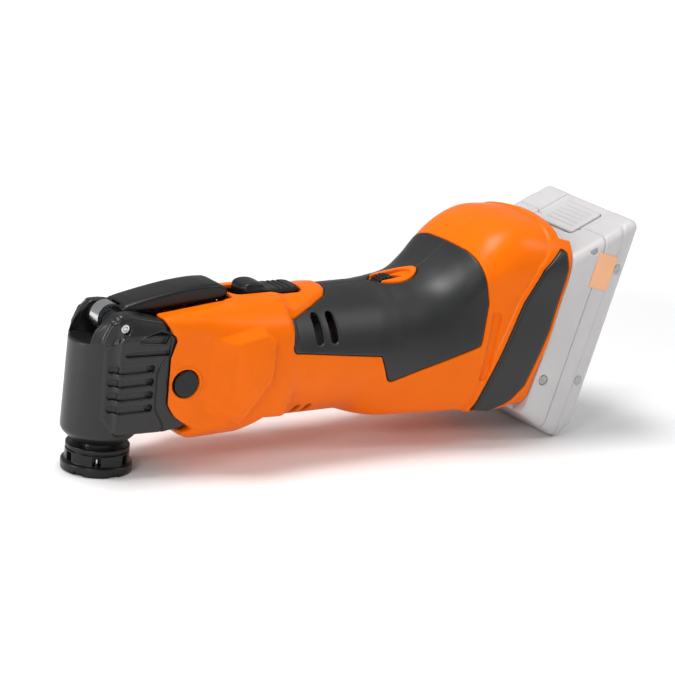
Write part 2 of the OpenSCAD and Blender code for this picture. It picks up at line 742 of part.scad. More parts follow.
housing_left();
housing_right();
grip_left();
grip_right();
dial_bezel();
bumper_left();
bumper_right();
damper_cap_left();
damper_cap_right();
damper_bushes();
gear_housing();
head_cover();
lever_pivot_pin();
spindle_bearing_upper();
spindle_bearing_lower();
spindle_seal();
motor_stator();
motor_front_shield();
motor_rear_shield();
motor_bearing_front();
motor_bearing_rear();
control_board();
micro_switch();
dial_axle();
battery_receiver();
receiver_contacts();
housing_screws();
head_screws();
rotor_shaft();
rotor_core();
cooling_fan();
eccentric();
eccentric_bearing();
spindle();
swing_fork();
tool_holder();
drive_pins();
clamp_spring();
clamp_rod();
clamp_jaw_front();
clamp_jaw_rear();
release_lever();
lever_cam();
switch_slider();
switch_link();
speed_dial();
pack_case_front();
pack_case_rear();
pack_cells();
pack_board();
pack_contacts();
pack_screws();
pack_label();
pack_button();
pack_latch();
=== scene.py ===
"""Cordless oscillating multi tool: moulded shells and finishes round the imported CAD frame.

Every shell is a distance field in millimetres, in the row frame: X back along the tool, Z up along the
spindle, and the blade cup's mouth at the origin. A field is sampled near its surface only, turned into
quads and pulled onto the exact surface."""

import json
import math

import bpy
import numpy as np
import openvdb
from mathutils import Matrix, Vector


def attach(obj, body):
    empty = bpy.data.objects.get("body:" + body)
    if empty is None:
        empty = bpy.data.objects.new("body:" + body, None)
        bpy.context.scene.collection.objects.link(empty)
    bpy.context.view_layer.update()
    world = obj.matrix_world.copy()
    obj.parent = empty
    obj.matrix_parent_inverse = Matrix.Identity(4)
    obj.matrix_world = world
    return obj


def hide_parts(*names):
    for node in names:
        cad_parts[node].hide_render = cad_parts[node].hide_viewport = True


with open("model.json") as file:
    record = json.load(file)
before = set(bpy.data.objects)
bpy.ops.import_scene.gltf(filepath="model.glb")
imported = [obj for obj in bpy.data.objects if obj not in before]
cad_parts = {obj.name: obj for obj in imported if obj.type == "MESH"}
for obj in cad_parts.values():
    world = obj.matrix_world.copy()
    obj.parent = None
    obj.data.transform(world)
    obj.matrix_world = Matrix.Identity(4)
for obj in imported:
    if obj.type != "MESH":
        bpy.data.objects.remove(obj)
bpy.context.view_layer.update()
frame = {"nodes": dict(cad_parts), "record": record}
MM = 0.001
FINE, COARSE = ((0.42, 0.55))

# ---- sizes shared by several pieces, in millimetres ----
AXIS_Z, GRIP_R = 49.0, 31.0  # motor axis above the floor, and the barrel's radius
HEAD_R, HEAD_HW, HEAD_TOP_Z = 18.4, 20.9, 80.0  # the head's drum, half its width behind, and its top
FLANGE_R, COLLAR_R, CUP_R, CUP_DEPTH = 17.1, 15.3, 13.4, 5.0  # the blade holder
SPINDLE_R = 6.0
PIVOT_Z, PIVOT_R, HUB_R = 73.4, 2.5, 5.3  # the lever's pin, and its hubs round the pin
LEVER_HW, SLOT_HW = 9.5, 10.0
DAMPER_X, DAMPER_Z, DAMPER_R, DAMPER_HOLE_R = 31.3, 45.7, 6.5, 6.9
DIAL_X, DIAL_Z, DIAL_R = 156.5, 73.3, 8.6
SLIDER_X, SLIDER_HW = 87.0, 7.0
PACK_X, LEAN = 245.0, math.radians(16.5)  # where the pack meets the floor line, and its lean
PACK_HW = 39.0
RIM_W, ARCH_W = -28.0, -35.5  # the housing's side rims and its rear wall, along the pack's w axis
BLOCK_HW = 30.3  # half the gap between the side rims
WALL, RUBBER_DEPTH = 2.5, 1.9
MIDDLE = Vector((0.132, 0.0, 0.052))  # the middle of the tool, in metres
SEAM = 0.3


# ---- distance field helpers ----
def smin(a, b, k):
    h = np.clip(0.5 + 0.5 * (b - a) / k, 0, 1)
    return b + (a - b) * h - k * h * (1 - h)


def smax(a, b, k):
    return -smin(-a, -b, k)


def most(k, *fields):
    d = fields[0]
    for f in fields[1:]:
        d = smax(d, f, k)
    return d


def inset(points, d):
    """The outline with every edge moved inwards by d. Points run counter-clockwise."""
    p = np.array(points, float)
    e = np.roll(p, -1, 0) - p
    n = np.stack([-e[:, 1], e[:, 0]], 1) / np.linalg.norm(e, axis=1)[:, None]
    out = []
    for i in range(len(p)):
        a, b = i - 1, i
        m = np.array([n[a], n[b]])
        out.append(np.linalg.solve(m, [n[a] @ p[a] + d, n[b] @ p[b] + d]))
    return out


def polygon(u, v, points, rounding=0.0):
    """Signed distance to an outline in the u, v plane, with its corners rounded."""
    p = np.array(inset(points, rounding) if rounding else points, np.float32)
    best = np.full(u.shape, 1e9, np.float32)
    inside = np.zeros(u.shape, bool)
    for a, b in zip(p, np.roll(p, -1, 0)):
        e = b - a
        wu, wv = u - a[0], v - a[1]
        t = np.clip((wu * e[0] + wv * e[1]) / (e @ e), 0, 1)
        best = np.minimum(best, (wu - e[0] * t) ** 2 + (wv - e[1] * t) ** 2)
        if a[1] != b[1]:
            crosses = (a[1] > v) != (b[1] > v)
            inside ^= crosses & (u < (b[0] - a[0]) * (v - a[1]) / (b[1] - a[1]) + a[0])
    d = np.sqrt(best)
    return np.where(inside, -d, d) - rounding


def box2(u, v, cu, cv, hu, hv, r=0.0):
    qu, qv = np.abs(u - cu) - hu + r, np.abs(v - cv) - hv + r
    return np.hypot(np.maximum(qu, 0), np.maximum(qv, 0)) + np.minimum(np.maximum(qu, qv), 0) - r


def box3(x, y, z, lo, hi, r=0.0):
    q = [np.abs(a - (l + h) / 2) - (h - l) / 2 + r for a, l, h in zip((x, y, z), lo, hi)]
    out = np.sqrt(sum(np.maximum(a, 0) ** 2 for a in q))
    return out + np.minimum(np.maximum(np.maximum(q[0], q[1]), q[2]), 0) - r


def pill(u, v, a, b, r):
    """A stadium from a to b with radius r."""
    eu, ev = b[0] - a[0], b[1] - a[1]
    t = np.clip(((u - a[0]) * eu + (v - a[1]) * ev) / (eu * eu + ev * ev), 0, 1)
    return np.hypot(u - a[0] - eu * t, v - a[1] - ev * t) - r


def step(t):
    t = np.clip(t, 0, 1)
    return t * t * (3 - 2 * t)


def curve(t, points):
    """A smooth curve through (t, value) points."""
    xs, ys = np.array(points, np.float32).T
    slope = np.gradient(ys, xs)
    i = np.clip(np.searchsorted(xs, t) - 1, 0, len(xs) - 2)
    w = xs[i + 1] - xs[i]
    s = np.clip((t - xs[i]) / w, 0, 1)
    return ((2 * s ** 3 - 3 * s ** 2 + 1) * ys[i] + (s ** 3 - 2 * s ** 2 + s) * w * slope[i]
            + (3 * s ** 2 - 2 * s ** 3) * ys[i + 1] + (s ** 3 - s ** 2) * w * slope[i + 1])


def pack_axes(x, z):
    """Local axes of the leaning pack: w goes back through it and u up along it."""
    dx, c, s = x - PACK_X, math.cos(LEAN), math.sin(LEAN)
    return dx * c - z * s, dx * s + z * c


# ---- meshing ----
def solid(name, field, lo, hi, h, body, nodes, material):
    """Meshes field(x, y, z) <= 0 inside the box lo..hi with cells of h millimetres."""
    block = 8
    lo = np.array(lo, float)
    cells = np.ceil((np.array(hi, float) - lo) / h / block).astype(int)
    centres = np.stack(np.meshgrid(*[np.arange(n) for n in cells], indexing="ij"), -1).reshape(-1, 3)
    mid = (lo + (centres * block + (block - 1) / 2) * h).astype(np.float32)
    value = field(mid[:, 0], mid[:, 1], mid[:, 2])
    near = np.abs(value) < block * h * 1.35
    grid = np.repeat(np.repeat(np.repeat(np.sign(value).reshape(cells) * 3 * h, block, 0), block, 1),
                     block, 2).astype(np.float32)
    inner = np.stack(np.meshgrid(*[np.arange(block)] * 3, indexing="ij"), -1).reshape(-1, 3)
    for some in np.array_split(centres[near], max(1, near.sum() // 1500)):
        index = (some[:, None, :] * block + inner[None]).reshape(-1, 3)
        p = (lo + index * h).astype(np.float32)
        grid[index[:, 0], index[:, 1], index[:, 2]] = field(p[:, 0], p[:, 1], p[:, 2])
    volume = openvdb.FloatGrid()
    volume.background = 3 * h
    volume.copyFromArray(np.clip(grid, -3 * h, 3 * h))
    co, quads = volume.convertToQuads(isovalue=0.0)
    co = lo + co.astype(float) * h
    # two Newton steps pull the points onto the exact surface
    e = 0.35 * h
    for _ in range(2):
        p = co.astype(np.float32)
        base = field(p[:, 0], p[:, 1], p[:, 2])
        grad = np.stack([field(*(p + e * np.eye(3, dtype=np.float32)[i]).T)
                         - field(*(p - e * np.eye(3, dtype=np.float32)[i]).T) for i in range(3)], 1) / (2 * e)
        move = base[:, None] * grad / np.maximum((grad ** 2).sum(1), 0.25)[:, None]
        length = np.linalg.norm(move, axis=1, keepdims=True)
        co = co - move * np.minimum(1, 0.6 * h / np.maximum(length, 1e-9))
    a, b, c = co[quads[:, 0]], co[quads[:, 1]], co[quads[:, 2]]
    normal = np.cross(b - a, c - b)
    outward = grad[quads].mean(1)
    if (normal * outward).sum() < 0:
        quads = quads[:, ::-1]
    mesh = bpy.data.meshes.new(name)
    mesh.vertices.add(len(co))
    mesh.vertices.foreach_set("co", (co * MM).astype(np.float32).ravel())
    mesh.loops.add(quads.size)
    mesh.loops.foreach_set("vertex_index", quads.astype(np.int32).ravel())
    mesh.polygons.add(len(quads))
    mesh.polygons.foreach_set("loop_start", np.arange(0, quads.size, 4, dtype=np.int32))
    mesh.polygons.foreach_set("loop_total", np.full(len(quads), 4, np.int32))
    mesh.update(calc_edges=True)
    mesh.validate()
    mesh.shade_smooth()
    mesh.materials.append(material)
    obj = bpy.data.objects.new(name, mesh)
    bpy.context.scene.collection.objects.link(obj)
    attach(obj, body)
    if nodes:
        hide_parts(*nodes)
    print(name, len(quads))
    return obj


# ---- materials ----
def material(name, colour, rough=0.4, grain=900.0, bump=0.04, metal=0.0, spread=0.08, sub=0.0, patch=60.0,
             shine=0.5):
    """Procedural finish: two close colours mixed by soft noise, uneven gloss and a fine moulded grain."""
    mat = bpy.data.materials.new(name)
    mat.use_nodes = True
    nodes, links = mat.node_tree.nodes, mat.node_tree.links
    shader = nodes["Principled BSDF"]
    shader.inputs["Metallic"].default_value = metal
    shader.inputs["Specular IOR Level"].default_value = shine
    place = nodes.new("ShaderNodeTexCoord")
    cloud = nodes.new("ShaderNodeTexNoise")
    cloud.inputs["Scale"].default_value = patch
    cloud.inputs["Detail"].default_value = 4
    links.new(place.outputs["Object"], cloud.inputs["Vector"])
    ramp = nodes.new("ShaderNodeValToRGB")
    darker, lighter = ramp.color_ramp.elements
    darker.position, lighter.position = 0.35, 0.65
    darker.color = (*(c * (1 - spread) for c in colour), 1)
    lighter.color = (*colour, 1)
    links.new(cloud.outputs["Fac"], ramp.inputs["Fac"])
    links.new(ramp.outputs["Color"], shader.inputs["Base Color"])
    gloss = nodes.new("ShaderNodeMapRange")
    gloss.inputs["To Min"].default_value = rough - 0.04
    gloss.inputs["To Max"].default_value = rough + 0.04
    links.new(cloud.outputs["Fac"], gloss.inputs["Value"])
    links.new(gloss.outputs["Result"], shader.inputs["Roughness"])
    fine = nodes.new("ShaderNodeTexNoise")
    fine.inputs["Scale"].default_value = grain
    fine.inputs["Detail"].default_value = 2
    links.new(place.outputs["Object"], fine.inputs["Vector"])
    relief = nodes.new("ShaderNodeBump")
    relief.inputs["Strength"].default_value = bump
    relief.inputs["Distance"].default_value = 0.0005
    links.new(fine.outputs["Fac"], relief.inputs["Height"])
    links.new(relief.outputs["Normal"], shader.inputs["Normal"])
    if sub:
        shader.inputs["Subsurface Weight"].default_value = sub
        shader.inputs["Subsurface Scale"].default_value = 0.01
    return mat


ORANGE = material("orange_nylon", (0.90, 0.155, 0.0), rough=0.30, bump=0.05, spread=0.04, shine=0.14)
RUBBER = material("black_rubber", (0.012, 0.0125, 0.0135), rough=0.44, bump=0.10, grain=1600, spread=0.2,
                  shine=0.5)
HEAD = material("head_black", (0.008, 0.008, 0.0085), rough=0.33, bump=0.10, grain=1300, spread=0.2,
                shine=0.5)
BLACK = material("black_nylon", (0.006, 0.006, 0.0065), rough=0.34, bump=0.06, spread=0.2, shine=0.35)
HOLDER = material("blackened_steel", (0.016, 0.016, 0.016), rough=0.30, metal=0.55, bump=0.05, spread=0.2)
STEEL = material("ground_steel", (0.62, 0.63, 0.65), rough=0.22, metal=1.0, bump=0.03)
ALLOY = material("cast_alloy", (0.46, 0.47, 0.48), rough=0.45, metal=1.0, bump=0.25, grain=700)
IRON = material("laminated_iron", (0.20, 0.21, 0.22), rough=0.5, metal=0.8, bump=0.1)
COPPER = material("winding_copper", (0.60, 0.25, 0.10), rough=0.35, metal=1.0, bump=0.3, grain=600)
BOARD = material("solder_mask", (0.02, 0.16, 0.06), rough=0.35, bump=0.05)
CONTACT = material("plated_contact", (0.78, 0.55, 0.24), rough=0.28, metal=1.0, bump=0.03)
PACK = material("frosted_plastic", (0.56, 0.545, 0.55), rough=0.40, bump=0.03, spread=0.05, sub=0.05)
CELLS = material("cell_sleeve", (0.06, 0.22, 0.42), rough=0.4, bump=0.03)
LABEL = material("label_film", (0.90, 0.46, 0.25), rough=0.45, bump=0.02, spread=0.05)
SCREW = material("pale_screw", (0.42, 0.42, 0.43), rough=0.4, metal=0.6, bump=0.03)

FINISH = {"orange_shell": ORANGE, "rubber_grip": RUBBER, "black_plastic": BLACK, "head_black": HEAD,
          "holder_black": HOLDER, "inner_rubber": RUBBER, "cast_alloy": ALLOY, "steel": STEEL,
          "motor_iron": IRON, "winding_copper": COPPER, "circuit_board": BOARD, "contact_metal": CONTACT,
          "pack_plastic": PACK, "cell_metal": CELLS, "pack_screw_steel": SCREW, "label_film": LABEL}
for part in frame["record"]["subparts"]:
    mesh = frame["nodes"][part["node"]].data
    mesh.materials.clear()
    mesh.materials.append(FINISH[part["material_slot"]])

# ---- outlines, seen from the side (x, z) or from above (x, y) ----
BLOCK_SIDE = [(31, 20.5), (41, 13.5), (64, 16.2), (74, 25), (100, 24), (100, 81), (62, 81.2), (19.2, 77.2),
              (22.6, 72), (24.6, 66.5), (22, 61), (18, 56.5), (16.6, 51), (16.6, 45), (18.6, 37.5),
              (26.5, 29), (36.5, 22.8)]
FACET = [(41.0, 31.5), (61, 23.5), (75, 45), (76.5, 64), (69.5, 72), (44.4, 67.0)]
FACET_BEVELS = [4.0, 3.0, 2.6, 2.6, 4.0, 8.5]
TONGUE = [(56, -24), (90, -21.5), (103, -16.5), (114, -10.5), (118, -5), (118, 5), (114, 10.5), (103, 16.5),
          (90, 21.5), (56, 24)]
GRIP_SIDE = [(85.6, 57), (137.6, 50.8), (143.2, 36.6), (192.2, 53), (196, 74), (193, 96), (185, 112),
             (90, 112), (90.4, 75)]
BUMPER = [(-39, 12.5), (-33.4, 22), (-30, 52), (-29.6, 84), (-31.5, 91), (-35.5, 92), (-44.5, 80), (-50, 62),
          (-53.5, 38), (-58.5, 3), (-47, 4)]
ISLAND_X, ISLAND_A, ISLAND_B = 161.0, 14.5, 8.8  # middle and half sizes of the oval round the dial
VENTS = [((vx, 61.4), (vx, 70.8)) for vx in (102.6, 111.0)]
LOW_VENTS = [((vx, 14), (vx, 21)) for vx in (97.0, 103.5)]
GROOVES = [34.9 + 6.4 * i for i in range(4)]  # heights of the head's cooling grooves
SCREWS = [(79, 29), (79, 70), (192, 32), (206, 95)]


def island(x, y, grow=0.0):
    arc = (ISLAND_A ** 2 + ISLAND_B ** 2) / (2 * ISLAND_B)
    a = np.hypot(x - ISLAND_X, y - ISLAND_B + arc) - arc
    b = np.hypot(x - ISLAND_X, y + ISLAND_B - arc) - arc
    return smax(a, b, 3.0) - grow


def flare(x, y, z):
    w, u = pack_axes(x, z)
    ay = np.abs(y)
    half = curve(w, [(-110, 22), (-95, 26), (-82, 31), (-68, 35), (-54, 37.4), (-42, 38), (-20, 38)])
    top = curve(w, [(-112, 40), (-100, 48), (-90, 58.5), (-82, 71), (-73, 86), (-62, 96.3), (-50, 100.8),
                    (-38, 102.2), (-20, 102.2)]) - ay ** 2 / 170
    side = smax(ay - half, (u - top) * 0.9, 17.0)
    return most(10.0, side, 18.6 - z, -106 - w)


def facet(x, z):
    """Height, from 0 to 1, of the raised panel on each side of the block, with a flat bevel on every edge."""
    t = np.float32(1.0)
    for a, b, width in zip(FACET, FACET[1:] + FACET[:1], FACET_BEVELS):
        length = math.dist(a, b)
        t = smin(t, ((b[0] - a[0]) * (z - a[1]) - (b[1] - a[1]) * (x - a[0])) / (length * width), 0.12)
    return np.clip(t, 0, 1)


def body(x, y, z):
    """The outside of the whole housing before it is cut."""
    ay = np.abs(y)
    r = np.hypot(y, z - AXIS_Z)
    barrel = smax(r - GRIP_R, 60 - x, 3.0)
    raised = step(-polygon(x, y, TONGUE, 4.0) / 2.2) * step((z - 60) / 8)
    barrel = barrel - 1.5 * raised
    barrel = smin(barrel, flare(x, y, z), 16.0)
    half = curve(x, [(8, 20.4), (20, 22.4), (31, 24.2), (40, 25.0), (50, 27.2), (60, 29.0), (72, 30.2),
                     (84, 30.4), (100, 29)])
    across = (ay - half) * 0.97
    block = most(4.0, across, np.hypot(y, z - 48) - 36.3)
    block = smax(block, polygon(x, z, BLOCK_SIDE, 1.2), 2.6)
    block = smax(block, x - 88, 5.0)
    d = smin(block, barrel, 4.5)
    d = d - 3.2 * facet(x, z) * step((ay - 14) / 6)
    # raised land round each damper cap
    land = np.hypot(x - DAMPER_X, z - DAMPER_Z) - 8.7
    d = d - 0.8 * step(-land / 0.8) * step((ay - 16) / 3)
    # raised collar round the pack's mouth, in front of the bumpers and over the top
    w, u = pack_axes(x, z)
    collar = np.where(ay > 26, polygon(w, u, BUMPER, 1.6) - 3.4, 99).astype(np.float32)
    collar = smin(collar, most(3.0, ARCH_W - 7.5 - w, 60 - u), 4.0)
    return d - 1.1 * step(-collar / 1.3)


def rear_cut(x, y, z):
    """Positive on the pack's side of the joint between the housing and the pack."""
    w, u = pack_axes(x, z)
    return np.where(np.abs(y) < BLOCK_HW, w - ARCH_W, w - RIM_W)


def grip_zone(x, y, z):
    side = polygon(x, z, GRIP_SIDE, 3.0)
    return most(0.6, side, -polygon(x, y, TONGUE, 4.0), -island(x, y))


def head_outer(x, y, z):
    ay = np.abs(y)
    r = np.hypot(x, y)
    radius = np.interp(z, [23, 66, HEAD_TOP_Z], [HEAD_R, HEAD_R - 1.0, HEAD_R - 4.2]).astype(np.float32)
    drum = most(1.4, r - radius, (r - 13 + (14.5 - z)) * 0.72, 14.5 - z, z - HEAD_TOP_Z)
    back = smax(box2(x, y, 12, 0, 31, HEAD_HW, 3.0) + 0.4 * np.maximum(z - 69, 0),
                polygon(x, z, COVER_SIDE, 2.0), 2.0)
    d = smax(smin(drum, back, 2.5), polygon(x, z, HEAD_TOP, 4.0), 1.5)
    # the side plates stand a little proud of the drum
    plate = polygon(x, z, [(-9.5, 30), (-4, 22), (40, 22), (40, 70), (-3, 70), (-9.5, 64)], 1.5)
    return d - 0.9 * step(-plate / 1.4) * step((ay - 9) / 3)


COVER_SIDE = [(-3, 22), (24, 21.5), (42, 27), (43, 69), (30, 75), (-3, 80.5)]
HEAD_TOP = [(-24, 10), (44, 10), (44, 69), (26, 72), (14, 78.6), (5, 80.4), (-3, 79.6), (-9, 75),
            (-16.5, 67.5), (-20, 60)]


def housing(x, y, z):
    ay = np.abs(y)
    outer = body(x, y, z)
    w, u = pack_axes(x, z)
    d = smax(outer, rear_cut(x, y, z), 0.8)
    # hollow inside, closed behind the side rims
    room = np.maximum(outer + WALL, np.where(ay < BLOCK_HW - 0.6, -9.0, w - RIM_W + WALL))
    d = np.maximum(d, -room)
    # recess for the rubber, bumpers, dial bezel
    d = smax(d, -np.maximum(grip_zone(x, y, z) - SEAM / 2, -(outer + RUBBER_DEPTH)), 0.5)
    d = smax(d, -np.maximum(bumper_zone(x, y, z) - SEAM / 2, -(outer + 2.0)), 0.5)
    d = smax(d, -np.maximum(island(x, y, SEAM / 2), 60 - z), 0.4)
    # mouth round the gear head, slot for the lever and the slider
    d = smax(d, -(head_outer(x, y, z) - 0.7), 0.7)
    d = smax(d, -box3(x, y, z, (-20, -10.7, 68), (62.4, 10.7, 120), 2.0), 1.0)
    d = smax(d, -box3(x, y, z, (63.8, -8.2, 70), (104.6, 8.2, 120), 5.0), 1.0)
    # holes for the damper caps
    boss = np.hypot(x - DAMPER_X, z - DAMPER_Z)
    d = smax(d, -np.maximum(boss - DAMPER_HOLE_R, 20 - ay), 1.3)
    # side vents go on through the wall, two small ones below
    for vent in VENTS:
        d = smax(d, -np.maximum(pill(x, z, *vent, 3.4), 10 - ay), 0.6)
    for vent in LOW_VENTS:
        d = smax(d, -np.maximum(pill(x, ay, *vent, 1.7), z - 40), 0.6)
    # relief groove along the rear of the flare
    groove = np.maximum(polygon(x, z, [(192.6, 35), (196.2, 36), (203.6, 68), (198.4, 69)], 0.9),
                        -(outer + 1.4))
    d = smax(d, -groove, 1.0)
    # joint between the halves
    d = d + 0.35 * np.exp(-(y / 0.4) ** 2) * step((x - 64) / 4)
    for sx, sz in SCREWS:
        d = smax(d, -most(0.2, np.hypot(x - sx, z - sz) - 2.6, -(outer + 2.2), -y), 0.5)
    return d


def bumper_zone(x, y, z):
    w, u = pack_axes(x, z)
    return np.maximum(polygon(w, u, BUMPER, 1.6), 26 - np.abs(y))


def grip(x, y, z):
    outer = body(x, y, z)
    d = smax(outer - 0.15, grip_zone(x, y, z) + SEAM / 2, 1.1)
    d = np.maximum(d, -(outer + 1.8))
    for vent in VENTS:
        d = smax(d, -np.maximum(pill(x, z, *vent, 2.1), 10 - np.abs(y)), 0.8)
    return d + 0.3 * np.exp(-(y / 0.4) ** 2)


def bumper(x, y, z):
    outer = body(x, y, z)
    return np.maximum(smax(outer - 0.7, bumper_zone(x, y, z) + SEAM / 2, 1.6), -(outer + RUBBER_DEPTH))


def bezel(x, y, z):
    outer = body(x, y, z)
    oval = island(x, y, -SEAM / 2)
    d = most(0.9, oval, outer - 0.9, -(outer + 4.2), 60 - z)
    dish = pill(x, y, (152.5, 0), (166.0, 0), 5.0)
    d = smax(d, -np.maximum(dish, -(outer + 1.3)), 0.8)
    return smax(d, -box3(x, y, z, (146.9, -4.0, 60), (166.1, 4.0, 100), 2.0), 0.6)


def dial(x, y, z):
    dx, dz = x - DIAL_X, z - DIAL_Z
    r, a = np.hypot(dx, dz), np.arctan2(dz, dx)
    rim = r - DIAL_R - 0.35 * np.cos(a * 26)
    return most(0.5, rim, np.abs(y) - 3.4, 1.55 - r)


def head(x, y, z):
    ay = np.abs(y)
    r = np.hypot(x, y)
    outer = head_outer(x, y, z)
    d = outer
    # lever slot with a rounded floor, and the room for the gear housing
    slot = box3(x, y, z, (-40, -SLOT_HW, 65.0), (60, SLOT_HW, 110), 1.0)
    d = smax(d, -slot, 0.9)
    room = smin(most(0.5, r - 15.9, 17 - z, z - 63.5, (r - 13.9) - (z - 16.7) * 0.8),
                box3(x, y, z, (0, -19.1, 25.7), (60, 19.1, 68.3)), 0.2)
    d = np.maximum(d, -room)
    d = np.maximum(d, -np.maximum(r - 9, z - 30))
    # raised cheek plate round the pivot pin
    cheek = polygon(x, z, [(-11, 66), (20, 62.5), (21, 75), (4, 78.5), (-6, 76)], 2.5)
    d = smin(d, most(1.0, cheek, ay - 17.6 - 0.10 * x, 10 - ay), 1.6)
    d = smax(d, -np.maximum(np.hypot(x, z - PIVOT_Z) - PIVOT_R - 0.05, 9 - ay), 0.4)
    # cooling grooves with round holes at their rear ends
    for gz in GROOVES:
        band = np.maximum(pill(x, z, (-5.5, gz), (13.5, gz), 1.6), -(outer + 1.5))
        d = smax(d, -band, 0.6)
        d = smax(d, -np.maximum(np.hypot(x - 13.4, z - gz) - 1.7, -(outer + 2.2)), 0.3)
    wedge = polygon(x, z, [(2.5, 67.6), (20.5, 65.4), (23, 69.6), (19, 71.2)], 0.8)
    d = smax(d, -np.maximum(wedge, -(outer + 2.2)), 0.6)
    thin = pill(x, z, (0, 61.8), (22, 61), 1.15)
    d = smax(d, -np.maximum(thin, -(outer + 1.8)), 0.5)
    # fine step where the head's front meets the part that goes into the housing
    edge = np.abs(x - 16.5 - 6.5 * step((z - 50) / 14) - 5 * step((36 - z) / 12)) - 0.35
    d = smax(d, -np.maximum(edge, -(outer + 0.7)), 0.3)
    return smax(d, -np.maximum(np.hypot(x - DAMPER_X, z - DAMPER_Z) - DAMPER_HOLE_R, 15 - ay), 0.3)


LEVER_SIDE = [(13, 77.8), (24, 78.4), (40, 79.6), (58, 80.4), (61.2, 82.4), (60, 86), (55, 88.4), (48, 89),
              (34, 87.6), (20, 85.2), (10, 83.6), (5.2, 82.4), (3, 79.8), (4.5, 77)]


def lever(x, y, z):
    ay = np.abs(y)
    side = polygon(x, z, LEVER_SIDE, 1.6)
    d = smax(side, ay - LEVER_HW + 0.6 * step((x - 50) / 12), 2.2)
    crown = z - (79.4 + 9.8 * np.sin(np.clip((x + 8) / 74, 0, 1) * math.pi * 0.62)) + ay ** 2 / 70
    d = smax(d, crown, 1.5)
    ears = most(0.6, np.hypot(x, z - PIVOT_Z) - HUB_R, np.abs(ay - 6.8) - 2.8)
    d = smin(d, ears, 1.6)
    d = smax(d, -np.maximum(np.hypot(x, z - PIVOT_Z) - 9.2, ay - 3.95), 0.4)
    return smax(d, -(np.hypot(x, z - PIVOT_Z) - PIVOT_R - 0.05), 0.2)


def slider(x, y, z):
    ay = np.abs(y)
    base = most(0.8, box2(x, y, SLIDER_X, 0, 15.6, SLIDER_HW, 4.0), z - 82.6, 78.6 - z)
    knob_x = SLIDER_X - 9.8
    knob = most(1.6, box2(x, y, knob_x, 0, 6.4, 6.6, 3.2), z - 86.0 + (x - knob_x) ** 2 / 30, 79 - z)
    d = smin(base, knob, 2.0)
    for gx in (91, 94, 97):
        d = smax(d, -np.maximum(np.abs(x - gx) - 0.45, 81.9 - z), 0.3)
    return d


def holder(x, y, z):
    r, a = np.hypot(x, y), np.arctan2(y, x)
    flange = most(1.0, r - FLANGE_R, z - 4.8, -z)
    collar = most(0.6, r - COLLAR_R, z - 13, 4.0 - z)
    d = smin(flange, collar, 0.8)
    d = smax(d, -most(0.3, r - CUP_R, z - CUP_DEPTH), 0.3)
    d = np.maximum(d, -np.maximum(r - 9.6, z - 9))
    d = np.maximum(d, SPINDLE_R + 0.02 - r)
    # six windows, a groove line and small notches round the flange
    sector = math.pi / 3
    t = (a + sector / 2) % sector - sector / 2
    d = smax(d, -most(0.3, np.abs(t * r) - 2.0, np.abs(z - 7.3) - 2.1, 11.6 - r), 0.4)
    d = smax(d, -np.maximum(np.abs(z - 10.6) - 0.4, 14.5 - r), 0.3)
    t = a % sector - sector / 2
    d = smax(d, -most(0.4, np.abs(t * r) - 2.4, z - 1.5, 15.8 - r), 0.5)
    for s in (-1, 1):
        d = np.maximum(d, -box3(x, y, z, (s * 6 - 3.4, -1.9, 4), (s * 6 + 3.4, 1.9, 12.4)))
    return d


def cap(x, y, z):
    ay, r = np.abs(y), np.hypot(x - DAMPER_X, z - DAMPER_Z)
    return most(0.7, r - DAMPER_R, ay - 25.0, 23.0 - ay)


def pin(x, y, z):
    r, ay = np.hypot(x, z - PIVOT_Z), np.abs(y)
    d = most(0.5, r - PIVOT_R, ay - 18.0)
    return smax(d, -np.maximum(r - 1.1, 17.5 - ay), 0.3)


def receiver(x, y, z):
    w, u = pack_axes(x, z)
    plate = most(0.4, box2(w, y, ARCH_W - 1.7, 0, 1.7, 30.0), body(x, y, z) + 2.9)
    rail = np.minimum(box2(w, y, -32.0, 0, 3.6, 15.0, 0.3), box2(w, y, -26.3, 0, 2.3, 19.0, 0.5))
    d = np.minimum(plate, most(0.5, rail, 14 - u, u - 72))
    for sy in (-9, 0, 9):
        d = np.maximum(d, -box3(w, y, u, (-40, sy - 1.7, 52), (-20, sy + 1.7, 80)))
    return d


# ---- battery pack ----
PACK_SIDE = [(-35.2, 10), (-3, 0), (0.5, 0), (6.7, 8), (6.7, 112.4), (4.0, 117.2), (-35.2, 84.5)]
SLOPE = math.atan2(117.6 - 84.5, 4.4 + 35.2)
PACK_SCREWS = [(-22, 27), (-18, 96.5), (0.4, 31), (0.8, 90)]
SPLIT_W = -12.0


def slope_axes(w, u):
    """Along and above the pack's slanted top, from the middle of the button."""
    dw, du = w + 9, u - (84.5 + (-9 + 35.2) * math.tan(SLOPE))
    c, s = math.cos(SLOPE), math.sin(SLOPE)
    return dw * c + du * s, du * c - dw * s


def pack_outer(w, y, u):
    ay = np.abs(y)
    side = polygon(w, u, PACK_SIDE, 3.2)
    d = smax(side, ay - PACK_HW + 0.7 * step((w + 6) / 6), 6.0)
    # only the central block goes in between the housing's side rims
    d = smax(d, np.where(ay > BLOCK_HW - 0.6, RIM_W + SEAM - w, -1e3).astype(np.float32), 0.6)
    # step line along each side
    d = d + 0.55 * np.exp(-((w + 2.6) / 0.6) ** 2) * step((ay - 30) / 4)
    # raised shoulders beside the button ramp
    a, n = slope_axes(w, u)
    ramp = np.maximum(np.abs(y) - 18.5, -(n + 1.1))
    return smax(d, -ramp, 1.2)


